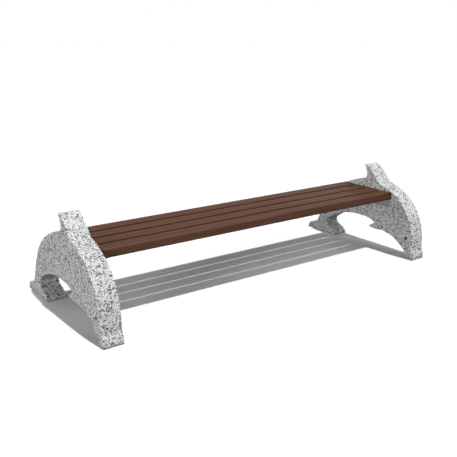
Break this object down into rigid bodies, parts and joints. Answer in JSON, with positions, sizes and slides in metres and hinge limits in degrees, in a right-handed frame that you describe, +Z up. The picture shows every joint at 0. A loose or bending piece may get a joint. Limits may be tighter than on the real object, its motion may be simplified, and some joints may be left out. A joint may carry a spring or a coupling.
{
  "type": "backless bench",
  "caption": "Backless street bench with dolphin-shaped sides of exposed-aggregate concrete that carry a slatted timber seat on bolted steel angles.",
  "frame": {"origin": "on the floor, under the middle of the bench's overall length and depth", "axes": "+X along the bench to the sitter's left, -Y to the front, where the dolphins' heads are, +Z up"},
  "size_m": [2.48, 1.082, 0.615],
  "materials": {
    "concrete": "washed concrete with exposed granite chips",
    "timber": "dark brown stain, satin",
    "angle_steel": "dull grey paint",
    "socket_steel": "plain turned steel",
    "fasteners": "dull zinc plating",
    "reinforcing_steel": "mill scale with light rust"
  },
  "bodies": {
    "root": {"left_side": "concrete", "right_side": "concrete", "front_plank": "timber", "front_middle_plank": "timber", "rear_middle_plank": "timber", "rear_plank": "timber", "left_angle": "angle_steel", "right_angle": "angle_steel", "left_sockets": "socket_steel", "right_sockets": "socket_steel", "left_anchor_bolts": "fasteners", "right_anchor_bolts": "fasteners", "left_anchor_washers": "fasteners", "right_anchor_washers": "fasteners", "left_coach_screws": "fasteners", "right_coach_screws": "fasteners", "left_screw_washers": "fasteners", "right_screw_washers": "fasteners", "left_main_bars": "reinforcing_steel", "right_main_bars": "reinforcing_steel", "left_links": "reinforcing_steel", "right_links": "reinforcing_steel"}
  },
  "joints": []
}
